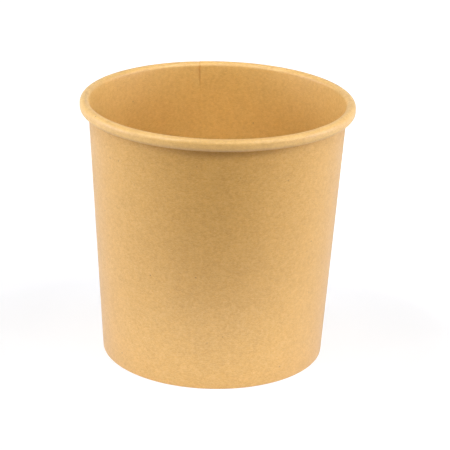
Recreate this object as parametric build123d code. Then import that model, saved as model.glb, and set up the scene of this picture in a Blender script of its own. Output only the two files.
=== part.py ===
from build123d import *

import math
import os

# Paper soup cup.
# A sheet of board is wrapped into a tapered side wall and lapped on itself at the back. Its top edge is rolled
# outwards into the rim, and its bottom edge is folded in and up as a hem. The edge of the bottom disc is turned
# down as a skirt, which is sealed between the wall and the hem.
# Lengths are in millimetres and angles in degrees. The cup stands on Z = 0, its axis is +Z and its front is -Y.

# Driving dimensions of the cup
CUP_HEIGHT = 87.2
RIM_DIAMETER = 90.0
FOOT_DIAMETER = 73.9
FLOOR_HEIGHT = 8.0

# Board of the two blanks, and the sealing film between them
WALL_BOARD = 0.42
FLOOR_BOARD = 0.36
SEAL_FILM = 0.05

# Rolled rim: its width over the top curve, the upright stretch of its outside, the straight end tucked up beside
# the wall, and the room between that end and the wall
ROLL_WIDTH = 3.12
ROLL_UPRIGHT = 0.95
ROLL_TUCK = 0.8
ROLL_CLEARANCE = 0.12

# Foot: inner radius of the floor's bend, and the room between that bend and the top of the hem
FLOOR_BEND = 0.5
HEM_CLEARANCE = 0.64

# Side seam: where its inner edge lies round the cup, how far the ends overlap, and how far the lap's edges stop
# short of the foot, the floor and the roll
SEAM_ANGLE = 99.0
SEAM_LAP = 7.0
SEAM_MARGIN = 0.6

# Taper of the wall, from the line along its outer face that leaves the foot and runs into the roll's top curve
RIM_RADIUS = RIM_DIAMETER / 2
FOOT_RADIUS = FOOT_DIAMETER / 2
TOP_CURVE_RADIUS = ROLL_WIDTH / 2
TOP_CURVE_HEIGHT = CUP_HEIGHT - TOP_CURVE_RADIUS
TOP_CURVE_REACH = RIM_RADIUS - TOP_CURVE_RADIUS - FOOT_RADIUS
TAPER = math.acos((TOP_CURVE_RADIUS - WALL_BOARD) / math.hypot(TOP_CURVE_REACH, TOP_CURVE_HEIGHT)) - math.atan2(
    TOP_CURVE_HEIGHT, TOP_CURVE_REACH
)
TAPER_DEGREES = math.degrees(TAPER)


def outer_face(height):
    """Radius of the wall's outer face at a height."""
    return FOOT_RADIUS + height * math.tan(TAPER)


def inside_outer_face(height, depth):
    """Radius at a height of a line that runs beside the wall's outer face, at a depth square to it."""
    return outer_face(height) - depth / math.cos(TAPER)


def inner_face(height):
    """Radius of the wall's inner face at a height."""
    return inside_outer_face(height, WALL_BOARD)


def skirt_face(height):
    """Radius of the outer face of the floor's skirt, one sealing film inside the wall."""
    return inside_outer_face(height, WALL_BOARD + SEAL_FILM)


def hem_face(height):
    """Radius of the hem's face that holds the skirt, one sealing film inside it."""
    return inside_outer_face(height, WALL_BOARD + SEAL_FILM + FLOOR_BOARD + SEAL_FILM)


# Lower curve of the roll, between its upright outside and the tucked end beside the wall
LOW_CURVE_HEIGHT = TOP_CURVE_HEIGHT - ROLL_UPRIGHT
LOW_CURVE_ROOM = (RIM_RADIUS - outer_face(LOW_CURVE_HEIGHT)) * math.cos(TAPER) - ROLL_CLEARANCE
LOW_CURVE_RADIUS = LOW_CURVE_ROOM / (1 + math.cos(TAPER))
ROLL_FOOT = LOW_CURVE_HEIGHT - LOW_CURVE_RADIUS

HEM_TOP = FLOOR_HEIGHT - FLOOR_BOARD - FLOOR_BEND - HEM_CLEARANCE


# Directions in the section: along the wall, and square to it towards the cup's axis
UP_THE_WALL = Vector(math.sin(TAPER), math.cos(TAPER))
INTO_THE_CUP = Vector(-math.cos(TAPER), math.sin(TAPER))


def board_section(food_side, back_side):
    """Upright section of a sheet, between the lines along its two faces and closed across its two cut edges."""
    cut_edges = [Line(food_side[0] @ 0, back_side[0] @ 0), Line(food_side[-1] @ 1, back_side[-1] @ 1)]
    return Plane.XZ * make_face(food_side + back_side + cut_edges)


def rolled_wall_line(depth):
    """Line along the wall's blank at a depth below its food side, from the tucked end through the roll."""
    low_centre = (RIM_RADIUS - LOW_CURVE_RADIUS, LOW_CURVE_HEIGHT)
    top_centre = (RIM_RADIUS - TOP_CURVE_RADIUS, TOP_CURVE_HEIGHT)
    low_curve = CenterArc(low_centre, LOW_CURVE_RADIUS - depth, 180 - TAPER_DEGREES, 180 + TAPER_DEGREES)
    top_curve = CenterArc(top_centre, TOP_CURVE_RADIUS - depth, 0, 180 - TAPER_DEGREES)
    tucked_end = Line(low_curve @ 0 + UP_THE_WALL * ROLL_TUCK, low_curve @ 0)
    upright = Line(low_curve @ 1, top_curve @ 0)
    return [tucked_end, low_curve, upright, top_curve]


def wall_section():
    """Section of the wall's blank: tucked end, roll, wall, foot fold and hem. The fold bends about two creases."""
    outer_crease = Vector(inner_face(WALL_BOARD), WALL_BOARD)
    inner_crease = Vector(hem_face(WALL_BOARD), WALL_BOARD)
    hem_end = Vector(hem_face(HEM_TOP), HEM_TOP)
    roll_face = rolled_wall_line(0)
    food_side = roll_face + [
        Line(roll_face[-1] @ 1, outer_crease),
        Line(outer_crease, inner_crease),
        Line(inner_crease, hem_end),
    ]
    roll_back = rolled_wall_line(WALL_BOARD)
    outer_fold = CenterArc(outer_crease, WALL_BOARD, -TAPER_DEGREES, TAPER_DEGREES - 90)
    inner_fold = CenterArc(inner_crease, WALL_BOARD, -90, -90 - TAPER_DEGREES)
    back_side = roll_back + [
        Line(roll_back[-1] @ 1, outer_fold @ 0),
        outer_fold,
        Line(outer_fold @ 1, inner_fold @ 0),
        inner_fold,
        Line(inner_fold @ 1, hem_end + INTO_THE_CUP * WALL_BOARD),
    ]
    return board_section(food_side, back_side)


def floor_line(depth):
    """Line along the bottom disc at a depth below its food side: skirt, bend and floor."""
    bend_radius = FLOOR_BEND + FLOOR_BOARD
    bend_height = FLOOR_HEIGHT - bend_radius
    bend_centre = (skirt_face(bend_height) - bend_radius / math.cos(TAPER), bend_height)
    bend = CenterArc(bend_centre, bend_radius - depth, -TAPER_DEGREES, 90 + TAPER_DEGREES)
    skirt_foot = WALL_BOARD + SEAL_FILM
    skirt_end = Vector(skirt_face(skirt_foot), skirt_foot) + INTO_THE_CUP * depth
    return [Line(skirt_end, bend @ 0), bend, Line(bend @ 1, (0, FLOOR_HEIGHT - depth))]


def polar(radius, angle, height):
    """Point at a radius and an angle round the cup's axis."""
    return Vector(radius * math.cos(math.radians(angle)), radius * math.sin(math.radians(angle)), height)


def arc_round_axis(radius, start_angle, end_angle, height):
    """Level arc about the cup's axis."""
    middle_angle = (start_angle + end_angle) / 2
    return ThreePointArc(
        polar(radius, start_angle, height), polar(radius, middle_angle, height), polar(radius, end_angle, height)
    )


# The lapping end leaves the round wall along a straight ramp, which starts this deep in the face that it leaves
RAMP_BITE = WALL_BOARD / 4


def ramp_angle(face_radius):
    """Angle round the axis over which a straight ramp climbs one board's thickness from a face."""
    return math.degrees(math.acos((face_radius - RAMP_BITE) / (face_radius + WALL_BOARD)))


def lap_section(height):
    """Level section of what the outer end of the blank adds outside the round wall: its ramp and its lap."""
    face = outer_face(height)
    root = face - 2 * RAMP_BITE
    lap_face = face + WALL_BOARD
    ramp_start = SEAM_ANGLE + ramp_angle(face)
    lap_end = SEAM_ANGLE - math.degrees(SEAM_LAP / lap_face)
    outline = [
        Line(polar(root, ramp_start, height), polar(face - RAMP_BITE, ramp_start, height)),
        Line(polar(face - RAMP_BITE, ramp_start, height), polar(lap_face, SEAM_ANGLE, height)),
        arc_round_axis(lap_face, SEAM_ANGLE, lap_end, height),
        Line(polar(lap_face, lap_end, height), polar(root, lap_end, height)),
        arc_round_axis(root, lap_end, ramp_start, height),
    ]
    return make_face(outline)


def step_section(height):
    """Level section of what the ramp leaves free on the inside, up to the inner end's cut edge."""
    face = inner_face(height)
    mouth = face - 2 * RAMP_BITE
    ramp_start = SEAM_ANGLE + ramp_angle(face)
    outline = [
        Line(polar(mouth, ramp_start, height), polar(face - RAMP_BITE, ramp_start, height)),
        Line(polar(face - RAMP_BITE, ramp_start, height), polar(face + WALL_BOARD, SEAM_ANGLE, height)),
        Line(polar(face + WALL_BOARD, SEAM_ANGLE, height), polar(mouth, SEAM_ANGLE, height)),
        arc_round_axis(mouth, SEAM_ANGLE, ramp_start, height),
    ]
    return make_face(outline)


def side_wall():
    """Wall, roll and hem turned about the axis, with the lap outside and the step inside at the seam."""
    wall = revolve(wall_section(), axis=Axis.Z)
    lap = loft([lap_section(SEAM_MARGIN), lap_section(ROLL_FOOT)], ruled=True)
    step_foot = FLOOR_HEIGHT + SEAM_MARGIN
    step_top = ROLL_FOOT - SEAM_MARGIN
    step = loft([step_section(step_foot), step_section(step_top)], ruled=True)
    return wall + lap - step


def bottom_disc():
    """Floor and skirt turned about the axis."""
    return revolve(board_section(floor_line(0), floor_line(FLOOR_BOARD)), axis=Axis.Z)


os.makedirs("parts", exist_ok=True)
export_step(side_wall(), "parts/side_wall.step")
export_step(bottom_disc(), "parts/bottom_disc.step")
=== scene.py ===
"""Dresses the paper soup cup: side wall, bottom disc, their kraft board and a plain studio."""

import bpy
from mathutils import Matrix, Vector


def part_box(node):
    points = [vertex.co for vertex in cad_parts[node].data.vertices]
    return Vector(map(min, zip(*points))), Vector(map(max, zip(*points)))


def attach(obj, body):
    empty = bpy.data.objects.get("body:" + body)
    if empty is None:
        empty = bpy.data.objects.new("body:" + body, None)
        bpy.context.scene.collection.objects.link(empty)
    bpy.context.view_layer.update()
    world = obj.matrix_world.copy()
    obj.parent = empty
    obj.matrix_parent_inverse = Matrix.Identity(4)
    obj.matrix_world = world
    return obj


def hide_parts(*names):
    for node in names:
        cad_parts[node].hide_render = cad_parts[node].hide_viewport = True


bl_info = {
    "name": "Kraft Soup Cup",
    "version": (1, 0, 0),
    "blender": (4, 5, 0),
    "location": "View3D > Sidebar > Soup Cup",
    "description": "Builds a kraft paper soup cup with a rolled rim, a lapped seam and a recessed floor",
    "category": "Object",
}

import math
from typing import NamedTuple

import bpy
import numpy as np
from bpy.props import FloatProperty, FloatVectorProperty, IntProperty, PointerProperty
from mathutils import Matrix, Vector

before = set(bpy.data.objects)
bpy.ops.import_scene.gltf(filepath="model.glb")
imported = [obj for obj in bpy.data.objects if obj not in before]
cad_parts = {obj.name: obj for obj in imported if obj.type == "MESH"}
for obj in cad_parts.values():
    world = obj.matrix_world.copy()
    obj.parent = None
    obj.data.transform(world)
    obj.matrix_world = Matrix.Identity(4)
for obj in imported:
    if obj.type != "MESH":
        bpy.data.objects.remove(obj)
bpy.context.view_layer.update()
WALL_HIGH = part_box("side_wall")[1]
DISC_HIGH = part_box("bottom_disc")[1]

MM = 0.001
TURN = 2 * math.pi
HALF_TURN = math.pi
QUARTER_TURN = math.pi / 2
WHITE = (1.0, 1.0, 1.0)
BLANK_MAP = "blank"


# Properties that a user would change


class CupSizes(bpy.types.PropertyGroup):
    """Sizes of the cup. Those that the frame gives are read from it."""

    height: FloatProperty(
        name="Height", description="From the resting plane to the top of the rim",
        default=WALL_HIGH.z, unit="LENGTH",
    )
    rim_diameter: FloatProperty(
        name="Rim diameter", description="Over the outside of the roll",
        default=2 * WALL_HIGH.x, unit="LENGTH",
    )
    foot_diameter: FloatProperty(
        name="Foot diameter", description="Outer face of the wall, carried down to the resting plane",
        default=73.9 * MM, unit="LENGTH",
    )
    floor_height: FloatProperty(
        name="Floor height", description="Top of the floor above the resting plane",
        default=DISC_HIGH.z, unit="LENGTH",
    )
    wall_board: FloatProperty(
        name="Wall board", description="Thickness of the wall's blank",
        default=0.42 * MM, unit="LENGTH",
    )
    floor_board: FloatProperty(
        name="Floor board", description="Thickness of the bottom disc's blank",
        default=0.36 * MM, unit="LENGTH",
    )
    seal_film: FloatProperty(
        name="Sealing film", description="Gap that the film fills between the blanks",
        default=0.05 * MM, unit="LENGTH",
    )
    roll_width: FloatProperty(
        name="Roll width", description="Width of the rim over its top curve",
        default=3.12 * MM, unit="LENGTH",
    )
    roll_upright: FloatProperty(
        name="Roll upright", description="Upright stretch of the roll's outside",
        default=0.95 * MM, unit="LENGTH",
    )
    roll_tuck: FloatProperty(
        name="Roll tuck", description="Straight end of the roll beside the wall",
        default=0.8 * MM, unit="LENGTH",
    )
    roll_clearance: FloatProperty(
        name="Roll clearance", description="Room between that end and the wall",
        default=0.12 * MM, unit="LENGTH",
    )
    floor_bend: FloatProperty(
        name="Floor bend", description="Inner radius of the floor's bend",
        default=0.5 * MM, unit="LENGTH",
    )
    hem_clearance: FloatProperty(
        name="Hem clearance", description="Room between the floor's bend and the hem",
        default=0.64 * MM, unit="LENGTH",
    )
    seam_angle: FloatProperty(
        name="Seam angle", description="Where the seam's inner edge lies round the cup",
        default=math.radians(99.0), subtype="ANGLE",
    )
    seam_lap: FloatProperty(
        name="Seam lap", description="Overlap of the blank's two ends",
        default=7.0 * MM, unit="LENGTH",
    )
    seam_press: FloatProperty(
        name="Seam press", description="How flat the seam's inner step is pressed, away from the rim",
        default=0.85, min=0.0, max=1.0,
    )
    steps_round: IntProperty(name="Steps round", description="Mesh columns round the cup", default=384)


class KraftFinish(bpy.types.PropertyGroup):
    """Colours and surface of the kraft board."""

    pulp: FloatVectorProperty(
        name="Pulp", description="Plain colour of the bare board",
        default=(0.69, 0.389, 0.087), size=3, subtype="COLOR",
    )
    filmed_pulp: FloatVectorProperty(
        name="Filmed pulp", description="Plain colour of the board under its film",
        default=(0.722, 0.437, 0.114), size=3, subtype="COLOR",
    )
    dark_fibre: FloatVectorProperty(
        name="Dark fibre", description="Colour of the darker fibres",
        default=(0.40, 0.19, 0.04), size=3, subtype="COLOR",
    )
    pale_fibre: FloatVectorProperty(
        name="Pale fibre", description="Colour of the paler fibres",
        default=(0.86, 0.59, 0.23), size=3, subtype="COLOR",
    )
    speck: FloatVectorProperty(
        name="Speck", description="Colour of bark specks",
        default=(0.22, 0.10, 0.035), size=3, subtype="COLOR",
    )
    bare_roughness: FloatProperty(
        name="Bare roughness", description="Roughness of the bare board",
        default=0.5, min=0.0, max=1.0,
    )
    film_roughness: FloatProperty(
        name="Film roughness", description="Roughness of the film on the food side",
        default=0.42, min=0.0, max=1.0,
    )
    bare_gloss: FloatProperty(
        name="Bare gloss", description="Gloss of the bare board, where 0.5 is what its refraction gives",
        default=0.12, min=0.0, max=1.0,
    )
    film_gloss: FloatProperty(
        name="Film gloss", description="Gloss of the film, where 0.5 is what its refraction gives",
        default=0.85, min=0.0, max=1.0,
    )
    bare_sheen: FloatProperty(
        name="Bare sheen", description="Soft sheen of the bare board's fibres",
        default=0.4, min=0.0, max=1.0,
    )


class StudioStage(bpy.types.PropertyGroup):
    """Camera, lamps and floor round the cup."""

    camera_place: FloatVectorProperty(
        name="Camera place", description="Where the camera stands",
        default=(0.00337, -0.6202, 0.2762), size=3, subtype="XYZ", unit="LENGTH",
    )
    camera_pitch: FloatProperty(
        name="Camera pitch", description="How far the camera looks down",
        default=0.35955, subtype="ANGLE",
    )
    camera_roll: FloatProperty(
        name="Camera roll", description="Turn of the camera about its own line of sight",
        default=0.0264, subtype="ANGLE",
    )
    camera_lens: FloatProperty(name="Camera lens", description="Focal length in millimetres", default=158.89)
    side_powers: FloatVectorProperty(
        name="Side powers", description="Left and right softboxes beside the cup",
        default=(6.5, 6.45), size=2, min=0.0, unit="POWER",
    )
    side_gloss: FloatProperty(
        name="Side gloss", description="Share of those softboxes' light that shows as gloss",
        default=0.25, min=0.0, max=1.0,
    )
    front_powers: FloatVectorProperty(
        name="Front powers", description="Left and right boxes high in front of the cup",
        default=(3.0, 3.8), size=2, min=0.0, unit="POWER",
    )
    card_power: FloatProperty(
        name="Card power", description="Low strip that stands for a white card before the foot",
        default=0.024, unit="POWER",
    )
    mouth_power: FloatProperty(
        name="Mouth power", description="Spot over the front of the rim, onto the back of the inside",
        default=8.4, unit="POWER",
    )
    rim_powers: FloatVectorProperty(
        name="Rim powers", description="Left and right spots from in front onto the rim",
        default=(14.5, 13.6), size=2, min=0.0, unit="POWER",
    )
    upper_powers: FloatVectorProperty(
        name="Upper powers", description="Left, middle and right spots from overhead into the mouth",
        default=(21.0, 6.5, 14.0), size=3, min=0.0, unit="POWER",
    )
    side_tint: FloatVectorProperty(
        name="Side tint", description="Cool tint of the softboxes beside the cup",
        default=(1.0, 1.09, 1.52), size=3, min=0.0, max=2.0, subtype="COLOR",
    )
    card_tint: FloatVectorProperty(
        name="Card tint", description="Cooler tint of the card before the foot",
        default=(0.92, 1.12, 2.0), size=3, min=0.0, max=2.0, subtype="COLOR",
    )
    front_tint: FloatVectorProperty(
        name="Front tint", description="Slightly warm tint of the boxes in front",
        default=(1.0, 0.91, 0.78), size=3, min=0.0, max=2.0, subtype="COLOR",
    )
    ambient: FloatProperty(name="Ambient", description="Even light from all round", default=0.02)
    floor_colour: FloatVectorProperty(
        name="Floor colour", description="Plain pale floor, as it throws light back",
        default=(0.58, 0.5, 0.385), size=3, subtype="COLOR",
    )
    floor_lift: FloatProperty(
        name="Floor lift", description="White that the floor shows to the eye near the cup, 1 further out",
        default=0.8, min=0.0, max=1.0,
    )
    floor_shadow: FloatProperty(
        name="Floor shadow", description="Share of the floor's light that shows, and so of the cup's shadow",
        default=0.3, min=0.0, max=1.0,
    )


# Section lines of a sheet of board


class Stretch(NamedTuple):
    """Points of one stretch of a line, and the unit normals to its left."""

    points: np.ndarray
    normals: np.ndarray


class SectionLine(NamedTuple):
    """Points of a whole line, the unit normals to its left, and the number of the stretch of each point."""

    points: np.ndarray
    normals: np.ndarray
    numbers: np.ndarray


def arc_points(centre, radius, start, sweep, count):
    """Arc: centre plus radius times (cos, sin) of angles from start through sweep. Left of an arc that turns
    counter-clockwise is its centre."""
    angles = start + sweep * np.linspace(0.0, 1.0, count)
    spokes = np.column_stack([np.cos(angles), np.sin(angles)])
    return Stretch(np.asarray(centre) + radius * spokes, -np.sign(sweep) * spokes)


def line_points(first, last, count):
    """Straight line: an even mix of its two ends. Its left normal is its direction turned a quarter turn."""
    first, last = np.asarray(first, float), np.asarray(last, float)
    shares = np.linspace(0.0, 1.0, count)[:, None]
    along = (last - first) / np.linalg.norm(last - first)
    normals = np.tile([-along[1], along[0]], (count, 1))
    return Stretch((1.0 - shares) * first + shares * last, normals)


def joined(stretches):
    """Stretches put end to end. A later one's first point repeats the last one before it, and is dropped."""
    first, *others = stretches
    points = [first.points] + [stretch.points[1:] for stretch in others]
    normals = [first.normals] + [stretch.normals[1:] for stretch in others]
    numbers = np.repeat(np.arange(len(stretches)), [len(each) for each in points])
    return SectionLine(np.concatenate(points), np.concatenate(normals), numbers)


def smooth_step(low, high, values):
    """0 below low, 1 above high, and 3t^2 - 2t^3 between them."""
    shares = np.clip((values - low) / (high - low), 0.0, 1.0)
    return shares * shares * (3.0 - 2.0 * shares)


# Numbers of the stretches along either face of the wall's blank, from its tucked end
TOP_CURVE = 3
WALL = 4

# Points along each stretch of the wall's blank and of the bottom disc
TUCK_POINTS = 3
LOW_CURVE_POINTS = 15
UPRIGHT_POINTS = 3
TOP_CURVE_POINTS = 17
INNER_FACE_POINTS = 41
OUTER_FACE_POINTS = 81
FOLD_POINTS = 7
FOOT_POINTS = 3
HEM_POINTS = 5
SKIRT_POINTS = 5
BEND_POINTS = 9
FLOOR_POINTS = 25

# Radius of the small ring where the disc's grid ends, round its middle
HUB_RADIUS = 1.0 * MM


class CupSection:
    """Lines and radii of the cup's upright section, all worked out from its sizes."""

    def __init__(self, sizes):
        self.sizes = sizes
        self.rim = sizes.rim_diameter / 2
        self.foot = sizes.foot_diameter / 2
        self.top_radius = sizes.roll_width / 2
        self.top_height = sizes.height - self.top_radius
        reach = self.rim - self.top_radius - self.foot
        lean = math.acos((self.top_radius - sizes.wall_board) / math.hypot(reach, self.top_height))
        self.taper = lean - math.atan2(self.top_height, reach)
        self.low_height = self.top_height - sizes.roll_upright
        room = (self.rim - self.face(self.low_height, 0.0)) * math.cos(self.taper) - sizes.roll_clearance
        self.low_radius = room / (1.0 + math.cos(self.taper))
        self.roll_foot = self.low_height - self.low_radius
        self.up_the_wall = np.array([math.sin(self.taper), math.cos(self.taper)])
        self.into_the_cup = np.array([-math.cos(self.taper), math.sin(self.taper)])

        board = sizes.wall_board
        pocket = 2 * sizes.seal_film + sizes.floor_board
        hem_depth = board + pocket
        hem_top = sizes.floor_height - sizes.floor_board - sizes.floor_bend - sizes.hem_clearance
        self.outer_crease = np.array([self.face(board, board), board])
        self.inner_crease = np.array([self.face(board, hem_depth), board])
        self.hem_end = np.array([self.face(hem_top, hem_depth), hem_top])

    def face(self, height, depth):
        """Radius at a height of the line that lies at a depth, square to the wall, inside its outer face."""
        return self.foot + height * math.tan(self.taper) - depth / math.cos(self.taper)

    def rolled_line(self, depth):
        """Tucked end, lower curve, upright and top curve of the roll, at a depth below the food side."""
        low_centre = (self.rim - self.low_radius, self.low_height)
        top_centre = (self.rim - self.top_radius, self.top_height)
        low_start, low_sweep = HALF_TURN - self.taper, HALF_TURN + self.taper
        low = arc_points(low_centre, self.low_radius - depth, low_start, low_sweep, LOW_CURVE_POINTS)
        top = arc_points(top_centre, self.top_radius - depth, 0.0, HALF_TURN - self.taper, TOP_CURVE_POINTS)
        tuck_end = low.points[0] + self.up_the_wall * self.sizes.roll_tuck
        tuck = line_points(tuck_end, low.points[0], TUCK_POINTS)
        upright = line_points(low.points[-1], top.points[0], UPRIGHT_POINTS)
        return [tuck, low, upright, top]

    def wall_food_side(self):
        """Food side of the wall's blank: the roll, the wall's inner face, the foot's creases and the hem."""
        roll = self.rolled_line(0.0)
        wall = line_points(roll[-1].points[-1], self.outer_crease, INNER_FACE_POINTS)
        flat = line_points(self.outer_crease, self.inner_crease, FOOT_POINTS)
        hem = line_points(self.inner_crease, self.hem_end, HEM_POINTS)
        return joined(roll + [wall, flat, hem])

    def wall_back_side(self):
        """Back of the wall's blank: the roll's inside, the wall's outer face, the foot's fold and the hem."""
        board = self.sizes.wall_board
        roll = self.rolled_line(board)
        outer_fold = arc_points(self.outer_crease, board, -self.taper, self.taper - QUARTER_TURN, FOLD_POINTS)
        inner_sweep = -QUARTER_TURN - self.taper
        inner_fold = arc_points(self.inner_crease, board, -QUARTER_TURN, inner_sweep, FOLD_POINTS)
        wall = line_points(roll[-1].points[-1], outer_fold.points[0], OUTER_FACE_POINTS)
        flat = line_points(outer_fold.points[-1], inner_fold.points[0], FOOT_POINTS)
        hem = line_points(inner_fold.points[-1], self.hem_end + self.into_the_cup * board, HEM_POINTS)
        return joined(roll + [wall, outer_fold, flat, inner_fold, hem])

    def disc_line(self, depth):
        """Skirt, bend and floor of the bottom disc, at a depth below its food side, up to a small ring."""
        sizes = self.sizes
        skirt_depth = sizes.wall_board + sizes.seal_film
        bend_radius = sizes.floor_bend + sizes.floor_board
        bend_height = sizes.floor_height - bend_radius
        bend_centre = (self.face(bend_height, skirt_depth) - bend_radius / math.cos(self.taper), bend_height)
        bend_sweep = QUARTER_TURN + self.taper
        bend = arc_points(bend_centre, bend_radius - depth, -self.taper, bend_sweep, BEND_POINTS)
        skirt_foot = np.array([self.face(skirt_depth, skirt_depth), skirt_depth])
        skirt = line_points(skirt_foot + self.into_the_cup * depth, bend.points[0], SKIRT_POINTS)
        hub = (HUB_RADIUS, sizes.floor_height - depth)
        return joined([skirt, bend, line_points(bend.points[-1], hub, FLOOR_POINTS)])


# Meshes from grids

# Edges that turn further than this stay sharp
SHARP_ANGLE = math.radians(35.0)


class BoardMesh(NamedTuple):
    """Points and faces of a blank, the faces' corners on the flat blank, and the material of each face."""

    points: np.ndarray
    faces: np.ndarray | list
    corner_uvs: np.ndarray
    face_materials: np.ndarray


def grid_faces(rows, columns):
    """Quads of a grid that closes on itself round its columns and along its rows, facing outwards."""
    row = np.arange(rows)[:, None]
    column = np.arange(columns)[None, :]
    next_row = (row + 1) % rows
    next_column = (column + 1) % columns
    corners = [row * columns + column, row * columns + next_column]
    corners += [next_row * columns + next_column, next_row * columns + column]
    return np.stack(corners, axis=-1).reshape(-1, 4)


def board_object(name, shape, materials):
    """Mesh object of smooth faces, with its own map of the flat blank and its cut edges kept sharp."""
    mesh = bpy.data.meshes.new(name)
    mesh.from_pydata(shape.points, [], shape.faces)
    blank_map = mesh.uv_layers.new(name=BLANK_MAP)
    blank_map.data.foreach_set("uv", np.ascontiguousarray(shape.corner_uvs, np.float32).ravel())
    for material in materials:
        mesh.materials.append(material)
    mesh.polygons.foreach_set("material_index", np.asarray(shape.face_materials, np.int32))
    mesh.shade_smooth()
    mesh.set_sharp_from_angle(angle=SHARP_ANGLE)
    mesh.update()
    board = bpy.data.objects.new(name, mesh)
    bpy.context.scene.collection.objects.link(board)
    return board


def turned_points(radii, heights, angles):
    """Points of a turned grid: (r cos a, r sin a, z), with a radius r for each row and column and an angle a
    for each column."""
    return np.stack([radii * np.cos(angles), radii * np.sin(angles), heights], axis=-1).reshape(-1, 3)


def blank_corner_uvs(along, round_the_cup):
    """Corner places on the flat blank, in metres: distance round the cup by distance along the section. The
    last column and row run on past the ends, so no face folds back over the map."""
    rows, columns = len(along), len(round_the_cup)
    next_along = np.append(along[1:], 2 * along[-1] - along[-2])
    next_round = np.append(round_the_cup[1:], 2 * round_the_cup[-1] - round_the_cup[-2])
    low_v = np.broadcast_to(along[:, None], (rows, columns))
    high_v = np.broadcast_to(next_along[:, None], (rows, columns))
    low_u = np.broadcast_to(round_the_cup[None, :], (rows, columns))
    high_u = np.broadcast_to(next_round[None, :], (rows, columns))
    corners = [np.stack([low_u, low_v], -1), np.stack([high_u, low_v], -1)]
    corners += [np.stack([high_u, high_v], -1), np.stack([low_u, high_v], -1)]
    return np.stack(corners, axis=2).reshape(-1, 4, 2)


def section_distance(points):
    """Distance along a line of points, from its first."""
    return np.concatenate([[0.0], np.cumsum(np.linalg.norm(np.diff(points, axis=0), axis=1))])


# Side wall

# Width of the blank's two cut ends on the mesh, the mesh columns along the seam's ramp and along its lap, and
# how far the ramp's columns reach, as a share of the ramp
CUT_EDGE_WIDTH = 0.03 * MM
RAMP_COLUMNS = 16
LAP_COLUMNS = 12
RAMP_REACH = 1.15

# Bands over which the seam's step and lap die out: below the rim's top where the press starts to bite, about
# the floor's top, above the resting plane, and about the underside of the roll
SEAM_PRESS_FADE = np.array([9.0, 3.5]) * MM
FLOOR_FADE = np.array([-0.6, 0.4]) * MM
FOOT_FADE = np.array([0.6, 1.3]) * MM
ROLL_FADE = np.array([-0.2, 0.4]) * MM

# Places of the blank's two finishes among the wall's materials
BARE, FILMED = 0, 1


def seam_columns(sizes, face_radius):
    """Angles from the seam's inner edge round the cup to it again, with close pairs at the blank's two cut
    ends and closer steps along the ramp and the lap."""
    half_edge = CUT_EDGE_WIDTH / face_radius / 2
    ramp_end = RAMP_REACH * math.acos(face_radius / (face_radius + sizes.wall_board))
    lap_start = TURN - sizes.seam_lap / face_radius
    return np.concatenate([
        np.linspace(half_edge, ramp_end, RAMP_COLUMNS, endpoint=False),
        np.linspace(ramp_end, lap_start - half_edge, sizes.steps_round),
        np.linspace(lap_start + half_edge, TURN - half_edge, LAP_COLUMNS),
    ])


def ramp_rise(angles, radii, board):
    """Height of the straight ramp over a round face: r / cos(rest of the ramp) - r, up to one board."""
    ramp = np.arccos(radii / (radii + board))
    return radii / np.cos(np.clip(ramp - angles, 0.0, ramp)) - radii


def food_step_share(section, food):
    """Share of the board's thickness by which the food side steps at the seam: whole under the roll, pressed
    flatter further down, nothing at the floor, and dying out over the roll's top curve."""
    sizes = section.sizes
    radii, heights = food.points.T
    pressed = 1.0 - sizes.seam_press
    share = pressed + (1.0 - pressed) * smooth_step(*(sizes.height - SEAM_PRESS_FADE), heights)
    share = share * smooth_step(*(sizes.floor_height + FLOOR_FADE), heights)
    across_roll = (radii - section.face(heights, sizes.wall_board)) / sizes.roll_width
    over_curve = 1.0 - smooth_step(0.0, 1.0, across_roll)
    return np.select([food.numbers == WALL, food.numbers == TOP_CURVE], [share, over_curve], 0.0)


def lap_share(section, back):
    """Share of the board's thickness by which the lap stands on the wall's outer face: whole between the
    foot's fold and the underside of the roll."""
    heights = back.points[:, 1]
    clear_of_foot = smooth_step(*FOOT_FADE, heights)
    clear_of_roll = 1.0 - smooth_step(*(section.roll_foot + ROLL_FADE), heights)
    return np.where(back.numbers == WALL, clear_of_foot * clear_of_roll, 0.0)


def side_wall_mesh(sizes):
    """Grid of the blank's closed section carried round the axis. At the seam the food side falls by the
    ramp's height, and the back rises by it and by one board over the lap. The map of the food side starts
    where the wall leaves the roll, at the seam's inner edge."""
    section = CupSection(sizes)
    board = sizes.wall_board
    middle_radius = section.face(sizes.height / 2, 0.0)
    food = section.wall_food_side()
    back = section.wall_back_side()
    columns = seam_columns(sizes, middle_radius)
    on_lap = columns > TURN - sizes.seam_lap / middle_radius

    food_rise = food_step_share(section, food)[:, None] * ramp_rise(columns, food.points[:, :1], board)
    lap_rise = np.where(on_lap, board, ramp_rise(columns, back.points[:, :1], board))
    back_rise = lap_share(section, back)[:, None] * lap_rise

    line = np.concatenate([food.points, back.points[::-1]])
    normals = np.concatenate([food.normals, back.normals[::-1]])
    rise = np.concatenate([food_rise, back_rise[::-1]])
    radii = line[:, :1] + normals[:, :1] * rise
    heights = line[:, 1:] + normals[:, 1:] * rise
    points = turned_points(radii, heights, columns + sizes.seam_angle)
    faces = grid_faces(len(line), len(columns))

    food_along = section_distance(food.points)
    food_along = food_along - food_along[food.numbers == TOP_CURVE][-1]
    along = np.concatenate([food_along, section_distance(back.points)[::-1]])
    corner_uvs = blank_corner_uvs(along, columns * middle_radius)
    row_materials = np.full(len(line), BARE)
    row_materials[: len(food.points) - 1] = FILMED
    return BoardMesh(points, faces, corner_uvs, np.repeat(row_materials, len(columns)))


# Bottom disc


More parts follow.
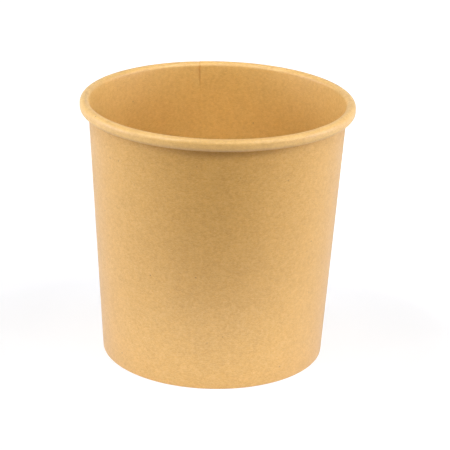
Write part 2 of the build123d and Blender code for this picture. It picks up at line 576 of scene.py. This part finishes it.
def bottom_disc_mesh(sizes):
    """Grid of the disc's section carried round the axis, with a fan of triangles at each of its two poles."""
    section = CupSection(sizes)
    top = section.disc_line(0.0).points
    under = section.disc_line(sizes.floor_board).points
    line = np.concatenate([top, under[::-1]])
    count = sizes.steps_round
    ring = np.arange(count)
    radii = np.repeat(line[:, :1], count, axis=1)
    heights = np.repeat(line[:, 1:], count, axis=1)
    turned = turned_points(radii, heights, ring * (TURN / count))
    poles = np.array([[0.0, 0.0, top[-1, 1]], [0.0, 0.0, under[-1, 1]]])
    points = np.concatenate([turned, poles])

    bridge = len(top) - 1
    quads = grid_faces(len(line), count).reshape(len(line), count, 4)
    quads = np.delete(quads, bridge, axis=0).reshape(-1, 4)
    next_ring = (ring + 1) % count
    top_row, under_row = bridge * count, (bridge + 1) * count
    top_pole, under_pole = len(turned), len(turned) + 1
    top_fan = np.column_stack([top_row + ring, top_row + next_ring, np.full(count, top_pole)])
    under_fan = np.column_stack([under_row + next_ring, under_row + ring, np.full(count, under_pole)])
    faces = quads.tolist() + top_fan.tolist() + under_fan.tolist()
    corners = np.concatenate([quads.ravel(), top_fan.ravel(), under_fan.ravel()])
    return BoardMesh(points, faces, points[corners, :2], np.zeros(len(faces), int))


# Kraft board

# Sockets of a mix node that carry colours
MIX_COLOURS = (6, 7)
MIXED_COLOUR = 2


class NodeBench:
    """Short calls for adding and linking the nodes of one material, or of the world."""

    def __init__(self, material):
        self.tree = material.node_tree
        self.tree.nodes.clear()

    def add(self, kind, **settings):
        node = self.tree.nodes.new(kind)
        for name, value in settings.items():
            setattr(node, name, value)
        return node

    def link(self, source, target):
        self.tree.links.new(source, target)

    def noise(self, coordinates, scale, detail, roughness, dimensions="3D"):
        """Noise value round 0.5, with features of about 1 / scale metres."""
        node = self.add("ShaderNodeTexNoise", noise_dimensions=dimensions)
        node.inputs["Scale"].default_value = scale
        node.inputs["Detail"].default_value = detail
        node.inputs["Roughness"].default_value = roughness
        self.link(coordinates, node.inputs["Vector"])
        return node.outputs["Fac"]

    def spread(self, value, low, high, new_low, new_high):
        """Value carried from one range to another, and held there."""
        node = self.add("ShaderNodeMapRange", clamp=True)
        for index, number in enumerate((low, high, new_low, new_high), start=1):
            node.inputs[index].default_value = number
        self.link(value, node.inputs[0])
        return node.outputs[0]

    def math(self, operation, first, second):
        """One sum on two values, either of them a socket or a number."""
        node = self.add("ShaderNodeMath", operation=operation)
        for index, value in enumerate((first, second)):
            if isinstance(value, (int, float)):
                node.inputs[index].default_value = value
            else:
                self.link(value, node.inputs[index])
        return node.outputs[0]

    def mixed(self, share, first, second):
        """Two colours mixed by a share, each a socket or a plain colour."""
        node = self.add("ShaderNodeMix", data_type="RGBA")
        self.link(share, node.inputs[0])
        for index, colour in zip(MIX_COLOURS, (first, second)):
            if isinstance(colour, bpy.types.NodeSocket):
                self.link(colour, node.inputs[index])
            else:
                node.inputs[index].default_value = (*colour, 1.0)
        return node.outputs[MIXED_COLOUR]


class Noise(NamedTuple):
    """Noise in the board: features to a metre, detail and roughness."""

    scale: float
    detail: float
    roughness: float


class Fibres(NamedTuple):
    """Fibres on the flat blank: length, width, and how near its crest the noise comes within a fibre."""

    length: float
    width: float
    nearness: float


CLOUD = Noise(140.0, 2.0, 0.5)
BLOTCH = Noise(420.0, 1.0, 0.5)
MOTTLE = Noise(900.0, 2.0, 0.6)
GRAIN = Noise(2000.0, 2.0, 0.6)
DARK_FIBRES = Fibres(1.9 * MM, 0.4 * MM, 0.04)
PALE_FIBRES = Fibres(2.1 * MM, 0.45 * MM, 0.035)

# Directions of the fibres in degrees, the noise that they follow on a stretched map, its crest, and the shift
# of that map for each degree, so that no two directions show the same noise
FIBRE_DIRECTIONS = (12.0, 74.0, 131.0)
FIBRE_NOISE = Noise(1.0, 2.0, 0.5)
FIBRE_CREST = 0.5
FIBRE_SHIFT = (0.013, 0.007, 0.0)

# Lightening and darkening by the clouds, and the range of the noise over which they change
CLOUD_CHANGE = 0.03
CLOUD_BAND = (0.3, 0.7, 0.0, 1.0)

# Stains of dark and pale fibre: the range of the noise, and the stain's share at either end of it
DARK_BLOTCH = (0.5, 0.75, 0.0, 0.08)
PALE_BLOTCH = (0.25, 0.5, 0.08, 0.0)
DARK_MOTTLE = (0.45, 0.72, 0.0, 0.2)
PALE_MOTTLE = (0.25, 0.48, 0.19, 0.0)
PALE_GRAIN = (0.5, 0.75, 0.0, 0.05)
DARK_FIBRE_SHARE = 0.3
PALE_FIBRE_SHARE = 0.32

# Bark specks: cells to a metre, a speck's edge in cells, the share of cells without one, and its strength
SPECK_CELLS = 210.0
SPECK_EDGE = (0.03, 0.075, 1.0, 0.0)
SPECK_FREE = 0.5
SPECK_SHARE = 0.6

# Tooth of the board: how far fibres stand out of the grain, its depth, and its strength bare and under film
TOOTH_FIBRES = 0.35
TOOTH_DEPTH = 0.06 * MM
BARE_TOOTH = 0.2
FILM_TOOTH = 0.03

# Change of the roughness over the mottle, and the surface's other values
ROUGHNESS_CHANGE = 0.05
ROUGHNESS_BAND = (0.3, 0.7)
BOARD_IOR = 1.5
SHEEN_ROUGHNESS = 0.5

# Painted shade in the corner beside the seam's inner edge, where the step shades the board: its width at the
# rim and further down, the distances below the roll between which it narrows, ends and starts, the share of
# its width over which it is full, and its strength
SEAM_SHADE_WIDTHS = (1.8 * MM, 0.55 * MM)
SEAM_SHADE_NARROWS = (1.5 * MM, 4.7 * MM)
SEAM_SHADE_ENDS = (4.8 * MM, 7.5 * MM)
SEAM_SHADE_STARTS = (-0.5 * MM, 1.3 * MM)
SEAM_SHADE_CORE = 0.15
SEAM_SHADE = 0.32


def fibre_lines(bench, blank, fibres):
    """Hair lines in several directions on the flat blank: the crests of noise stretched along each direction,
    where the value comes close to 0.5."""
    total = None
    for degrees in FIBRE_DIRECTIONS:
        mapping = bench.add("ShaderNodeMapping")
        mapping.inputs["Location"].default_value = [shift * degrees for shift in FIBRE_SHIFT]
        mapping.inputs["Rotation"].default_value = (0.0, 0.0, math.radians(degrees))
        mapping.inputs["Scale"].default_value = (1.0 / fibres.length, 1.0 / fibres.width, 1.0)
        bench.link(blank, mapping.inputs["Vector"])
        value = bench.noise(mapping.outputs[0], *FIBRE_NOISE, dimensions="2D")
        off_crest = bench.math("ABSOLUTE", bench.math("SUBTRACT", value, FIBRE_CREST), 0.0)
        crest = bench.spread(off_crest, 0.0, fibres.nearness, 1.0, 0.0)
        total = crest if total is None else bench.math("MAXIMUM", total, crest)
    return total


def bark_specks(bench, place):
    """Share of the bark specks: small spots at the middles of some of the cells that fill the board."""
    cells = bench.add("ShaderNodeTexVoronoi", feature="F1", voronoi_dimensions="3D")
    cells.inputs["Scale"].default_value = SPECK_CELLS
    bench.link(place, cells.inputs["Vector"])
    spot = bench.spread(cells.outputs["Distance"], *SPECK_EDGE)
    pick = bench.add("ShaderNodeSeparateColor")
    bench.link(cells.outputs["Color"], pick.inputs[0])
    chosen = bench.math("GREATER_THAN", pick.outputs[0], SPECK_FREE)
    return bench.math("MULTIPLY", bench.math("MULTIPLY", spot, chosen), SPECK_SHARE)


def painted_seam_shade(bench, blank):
    """Share of the painted shade beside the seam's inner edge, which darkens the colour where the step shades
    the
    board: full at the edge, falling with the distance round the cup, over a width that narrows with the
    distance below the roll."""
    parts = bench.add("ShaderNodeSeparateXYZ")
    bench.link(blank, parts.inputs[0])
    round_the_cup, below_roll = parts.outputs[0], parts.outputs[1]
    width = bench.spread(below_roll, *SEAM_SHADE_NARROWS, *SEAM_SHADE_WIDTHS)
    widths_away = bench.math("DIVIDE", round_the_cup, width)
    across = bench.spread(widths_away, SEAM_SHADE_CORE, 1.0, SEAM_SHADE, 0.0)
    upper = bench.spread(below_roll, *SEAM_SHADE_STARTS, 0.0, 1.0)
    lower = bench.spread(below_roll, *SEAM_SHADE_ENDS, 1.0, 0.0)
    return bench.math("MULTIPLY", across, bench.math("MULTIPLY", upper, lower))


def kraft_board(name, finish, film, seam=False):
    """Kraft board: plain pulp with fine mottling, dark and pale fibres and a few bark specks, and a fibrous
    tooth. The food side has a thin film, which fills the tooth and gives it a low gloss. With seam, painted
    shade darkens the colour beside the seam's inner edge."""
    material = bpy.data.materials.new(name)
    material.use_nodes = True
    bench = NodeBench(material)
    place = bench.add("ShaderNodeTexCoord").outputs["Object"]
    blank = bench.add("ShaderNodeUVMap", uv_map=BLANK_MAP).outputs["UV"]
    dark, pale = tuple(finish.dark_fibre), tuple(finish.pale_fibre)
    if film:
        pulp, roughness = finish.filmed_pulp, finish.film_roughness
        gloss, sheen, tooth_strength = finish.film_gloss, 0.0, FILM_TOOTH
    else:
        pulp, roughness = finish.pulp, finish.bare_roughness
        gloss, sheen, tooth_strength = finish.bare_gloss, finish.bare_sheen, BARE_TOOTH

    cloud, blotch, mottle, grain = (bench.noise(place, *noise) for noise in (CLOUD, BLOTCH, MOTTLE, GRAIN))
    dark_lines = fibre_lines(bench, blank, DARK_FIBRES)
    pale_lines = fibre_lines(bench, blank, PALE_FIBRES)

    shade = tuple(channel * (1.0 - CLOUD_CHANGE) for channel in pulp)
    light = tuple(min(channel * (1.0 + CLOUD_CHANGE), 1.0) for channel in pulp)
    colour = bench.mixed(bench.spread(cloud, *CLOUD_BAND), shade, light)
    for noise, band, stain in (
        (blotch, DARK_BLOTCH, dark),
        (blotch, PALE_BLOTCH, pale),
        (mottle, DARK_MOTTLE, dark),
        (mottle, PALE_MOTTLE, pale),
        (grain, PALE_GRAIN, pale),
    ):
        colour = bench.mixed(bench.spread(noise, *band), colour, stain)
    colour = bench.mixed(bench.math("MULTIPLY", dark_lines, DARK_FIBRE_SHARE), colour, dark)
    colour = bench.mixed(bench.math("MULTIPLY", pale_lines, PALE_FIBRE_SHARE), colour, pale)
    colour = bench.mixed(bark_specks(bench, place), colour, tuple(finish.speck))
    # Painted shade: the colour darkens towards the dark fibre beside the seam's inner edge, where the step
    # shades the board
    if seam:
        colour = bench.mixed(painted_seam_shade(bench, blank), colour, dark)

    tooth = bench.math("ADD", grain, bench.math("MULTIPLY", dark_lines, TOOTH_FIBRES))
    bump = bench.add("ShaderNodeBump")
    bump.inputs["Strength"].default_value = tooth_strength
    bump.inputs["Distance"].default_value = TOOTH_DEPTH
    bench.link(tooth, bump.inputs["Height"])

    roughness_ends = (roughness - ROUGHNESS_CHANGE, roughness + ROUGHNESS_CHANGE)
    shader = bench.add("ShaderNodeBsdfPrincipled")
    bench.link(colour, shader.inputs["Base Color"])
    bench.link(bench.spread(mottle, *ROUGHNESS_BAND, *roughness_ends), shader.inputs["Roughness"])
    bench.link(bump.outputs[0], shader.inputs["Normal"])
    shader.inputs["IOR"].default_value = BOARD_IOR
    shader.inputs["Sheen Weight"].default_value = sheen
    shader.inputs["Sheen Roughness"].default_value = SHEEN_ROUGHNESS
    shader.inputs["Specular IOR Level"].default_value = gloss
    output = bench.add("ShaderNodeOutputMaterial")
    bench.link(shader.outputs[0], output.inputs["Surface"])
    return material


# Floor and surroundings

# Half of the floor's width, and the distances from the cup's axis between which its white comes up to 1
FLOOR_HALF = 3.0
FLOOR_WHITE_BAND = (0.07, 0.22)


def seen_directly(bench):
    """1 for rays of the camera and for mirrored and refracted ones, 0 for those that light the scene."""
    path = bench.add("ShaderNodeLightPath")
    seen = bench.math("MAXIMUM", path.outputs["Is Camera Ray"], path.outputs["Is Glossy Ray"])
    return bench.math("MAXIMUM", seen, path.outputs["Is Transmission Ray"])


def studio_world(ambient):
    """White to the eye and in reflections, and a weaker even light on the object."""
    world = bpy.data.worlds.new("studio")
    world.use_nodes = True
    bench = NodeBench(world)
    light = bench.add("ShaderNodeBackground")
    light.inputs["Strength"].default_value = ambient
    white = bench.add("ShaderNodeBackground")
    mix = bench.add("ShaderNodeMixShader")
    bench.link(seen_directly(bench), mix.inputs[0])
    for index, background in enumerate((light, white), start=1):
        background.inputs["Color"].default_value = (*WHITE, 1.0)
        bench.link(background.outputs[0], mix.inputs[index])
    bench.link(mix.outputs[0], bench.add("ShaderNodeOutputWorld").inputs["Surface"])
    return world


def floor_paper(colour, lift, shadow):
    """Plain pale floor. To the eye it is white further out, and close to the cup it keeps the soft shadow."""
    material = bpy.data.materials.new("floor paper")
    material.use_nodes = True
    bench = NodeBench(material)
    paper = bench.add("ShaderNodeBsdfDiffuse")
    paper.inputs["Color"].default_value = (*colour, 1.0)
    reach = bench.add("ShaderNodeVectorMath", operation="LENGTH")
    bench.link(bench.add("ShaderNodeTexCoord").outputs["Object"], reach.inputs[0])
    white = bench.add("ShaderNodeEmission")
    bench.link(bench.spread(reach.outputs["Value"], *FLOOR_WHITE_BAND, lift, 1.0), white.inputs["Strength"])
    shaded = bench.add("ShaderNodeBsdfDiffuse")
    shaded.inputs["Color"].default_value = (shadow, shadow, shadow, 1.0)
    lifted = bench.add("ShaderNodeAddShader")
    bench.link(white.outputs[0], lifted.inputs[0])
    bench.link(shaded.outputs[0], lifted.inputs[1])
    mix = bench.add("ShaderNodeMixShader")
    bench.link(seen_directly(bench), mix.inputs[0])
    bench.link(paper.outputs[0], mix.inputs[1])
    bench.link(lifted.outputs[0], mix.inputs[2])
    bench.link(mix.outputs[0], bench.add("ShaderNodeOutputMaterial").inputs["Surface"])
    return material


def lay_floor(stage):
    """Lays a square floor, with its middle under the cup."""
    corners = [(-1.0, -1.0, 0.0), (1.0, -1.0, 0.0), (1.0, 1.0, 0.0), (-1.0, 1.0, 0.0)]
    mesh = bpy.data.meshes.new("floor")
    mesh.from_pydata(FLOOR_HALF * np.array(corners), [], [(0, 1, 2, 3)])
    mesh.materials.append(floor_paper(stage.floor_colour, stage.floor_lift, stage.floor_shadow))
    floor = bpy.data.objects.new("floor", mesh)
    bpy.context.scene.collection.objects.link(floor)


# Lamps and camera


class Box(NamedTuple):
    """Box of light: its place, width and height. The place is right of the cup or in the middle."""

    place: tuple
    width: float
    height: float


class Spot(NamedTuple):
    """Spot onto the mouth: its place, how far behind the axis it aims, its cone in degrees and its radius."""

    place: tuple
    behind: float
    cone: float
    radius: float


# The gloss box stands a little behind the side box, because two lamps in the same place lose light
SIDE_BOX = Box((0.93, 0.0, 0.195), 0.7, 0.365)
GLOSS_BOX = Box((0.95, 0.0, 0.195), 0.7, 0.365)
FRONT_BOX = Box((0.65, -0.53, 0.75), 0.7, 0.7)
LOW_CARD = Box((0.0, -0.075, 0.003), 0.2, 0.006)
CARD_TARGET_HEIGHT = 0.001

MOUTH_SPOT = Spot((0.0, -0.75, 0.80), 0.02, 5.2, 0.03)
RIM_SPOT = Spot((0.65, -0.53, 0.80), 0.0, 5.8, 0.08)
UPPER_SPOT = Spot((0.40, -0.12, 1.0), 0.0, 6.2, 0.08)
OVERHEAD_SPOT = Spot((0.0, -0.17, 1.05), 0.0, 6.2, 0.08)
SPOT_BLEND = 0.35

# Sides of the cup on which a lamp hangs
LEFT, MIDDLE, RIGHT = -1.0, 0.0, 1.0

# Camera's sensor in millimetres, and the nearest distance that it sees
SENSOR_WIDTH = 36.0
CLIP_START = 0.01


def mirrored(place, side):
    """A place right of the cup, or its mirror image on the left: x times 1, 0 or -1."""
    return (side * place[0], place[1], place[2])


def hung_lamp(name, kind, place, target, power, tint, glossy=True):
    """Lamp that faces a target, that the camera doesn't see, and that glossy surfaces mirror or not."""
    lamp = bpy.data.lights.new(name, kind)
    lamp.energy = power
    lamp.color = tint
    holder = bpy.data.objects.new(name, lamp)
    aim = (Vector(target) - Vector(place)).to_track_quat("-Z", "Y")
    holder.matrix_world = Matrix.Translation(place) @ aim.to_matrix().to_4x4()
    holder.visible_camera = False
    holder.visible_glossy = glossy
    bpy.context.scene.collection.objects.link(holder)
    return lamp


def softbox(name, box, side, target, power, tint, glossy=True):
    """Rectangular lamp on one side of the cup that faces a target, and that shows as gloss or not."""
    lamp = hung_lamp(name, "AREA", mirrored(box.place, side), target, power, tint, glossy)
    lamp.shape = "RECTANGLE"
    lamp.size, lamp.size_y = box.width, box.height


def soft_spot(name, spot, side, height, power):
    """Narrow white spot with a soft edge, on one side of the cup, that faces the mouth at a height."""
    target = (0.0, spot.behind, height)
    lamp = hung_lamp(name, "SPOT", mirrored(spot.place, side), target, power, WHITE)
    lamp.spot_size = math.radians(spot.cone)
    lamp.spot_blend = SPOT_BLEND
    lamp.shadow_soft_size = spot.radius


def hang_lamps(stage, sizes):
    """Hangs the boxes beside and before the cup, the low card at its foot and the spots onto its mouth."""
    middle = (0.0, 0.0, 0.5 * sizes.height)
    for kind, box, powers, share, tint, glossy in (
        ("side softbox", SIDE_BOX, stage.side_powers, 1.0 - stage.side_gloss, stage.side_tint, False),
        ("side gloss", GLOSS_BOX, stage.side_powers, stage.side_gloss, stage.side_tint, True),
        ("front box", FRONT_BOX, stage.front_powers, 1.0, stage.front_tint, True),
    ):
        for side, power in zip((LEFT, RIGHT), powers):
            softbox(kind, box, side, middle, share * power, tint, glossy)
    foot = (0.0, -sizes.foot_diameter / 2, CARD_TARGET_HEIGHT)
    softbox("low card", LOW_CARD, MIDDLE, foot, stage.card_power, stage.card_tint)
    left_rim, right_rim = stage.rim_powers
    left_upper, middle_upper, right_upper = stage.upper_powers
    for name, spot, side, power in (
        ("mouth spot", MOUTH_SPOT, MIDDLE, stage.mouth_power),
        ("left rim spot", RIM_SPOT, LEFT, left_rim),
        ("right rim spot", RIM_SPOT, RIGHT, right_rim),
        ("left upper spot", UPPER_SPOT, LEFT, left_upper),
        ("overhead spot", OVERHEAD_SPOT, MIDDLE, middle_upper),
        ("right upper spot", UPPER_SPOT, RIGHT, right_upper),
    ):
        soft_spot(name, spot, side, sizes.height, power)


def stand_camera(stage):
    """Stands the camera, which looks down by its pitch and is turned by its roll about its line of sight."""
    camera = bpy.data.cameras.new("camera")
    camera.sensor_width = SENSOR_WIDTH
    camera.lens = stage.camera_lens
    camera.clip_start = CLIP_START
    holder = bpy.data.objects.new("camera", camera)
    tilt = Matrix.Rotation(QUARTER_TURN - stage.camera_pitch, 4, "X")
    roll = Matrix.Rotation(stage.camera_roll, 4, "Z")
    holder.matrix_world = Matrix.Translation(stage.camera_place) @ tilt @ roll
    bpy.context.scene.collection.objects.link(holder)
    return holder


# Operators and panel


class CUP_OT_side_wall(bpy.types.Operator):
    """Wraps the wall's blank into the cup's side, with its rolled rim, hem and lapped seam"""

    bl_idname = "soup_cup.side_wall"
    bl_label = "Side wall"

    def execute(self, context):
        sizes, finish = context.scene.cup_sizes, context.scene.kraft_finish
        outside = kraft_board("kraft board", finish, film=False)
        inside = kraft_board("filmed kraft board", finish, film=True, seam=True)
        wall = board_object("wrapped_wall", side_wall_mesh(sizes), [outside, inside])
        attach(wall, "root")
        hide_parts("side_wall")
        return {"FINISHED"}


class CUP_OT_bottom_disc(bpy.types.Operator):
    """Sets the bottom disc in the foot, with its skirt between the wall and the hem"""

    bl_idname = "soup_cup.bottom_disc"
    bl_label = "Bottom disc"

    def execute(self, context):
        sizes, finish = context.scene.cup_sizes, context.scene.kraft_finish
        board = kraft_board("floor board", finish, film=True)
        disc = board_object("floor_disc", bottom_disc_mesh(sizes), [board])
        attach(disc, "root")
        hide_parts("bottom_disc")
        return {"FINISHED"}


class CUP_OT_stage(bpy.types.Operator):
    """Lays a pale floor, sets the lamps and stands the camera at the photograph's viewing angle"""

    bl_idname = "soup_cup.stage"
    bl_label = "Stage"

    def execute(self, context):
        scene, stage = context.scene, context.scene.studio_stage
        lay_floor(stage)
        hang_lamps(stage, scene.cup_sizes)
        scene.world = studio_world(stage.ambient)
        scene.view_settings.view_transform = "Standard"
        scene.camera = stand_camera(stage)
        return {"FINISHED"}


class CUP_PT_panel(bpy.types.Panel):
    """Lists the steps that build the cup"""

    bl_idname = "CUP_PT_panel"
    bl_label = "Soup Cup"
    bl_space_type = "VIEW_3D"
    bl_region_type = "UI"
    bl_category = "Soup Cup"

    def draw(self, context):
        for operator in (CUP_OT_side_wall, CUP_OT_bottom_disc, CUP_OT_stage):
            self.layout.operator(operator.bl_idname)


PROPERTY_GROUPS = {"cup_sizes": CupSizes, "kraft_finish": KraftFinish, "studio_stage": StudioStage}
CLASSES = (*PROPERTY_GROUPS.values(), CUP_OT_side_wall, CUP_OT_bottom_disc, CUP_OT_stage, CUP_PT_panel)


def register():
    for each in CLASSES:
        bpy.utils.register_class(each)
    for name, group in PROPERTY_GROUPS.items():
        setattr(bpy.types.Scene, name, PointerProperty(type=group))


def unregister():
    for name in PROPERTY_GROUPS:
        delattr(bpy.types.Scene, name)
    for each in reversed(CLASSES):
        bpy.utils.unregister_class(each)


def main():
    register()
    bpy.ops.soup_cup.side_wall()
    bpy.ops.soup_cup.bottom_disc()
    bpy.ops.soup_cup.stage()
    bpy.context.view_layer.update()


if __name__ == "__main__":
    main()
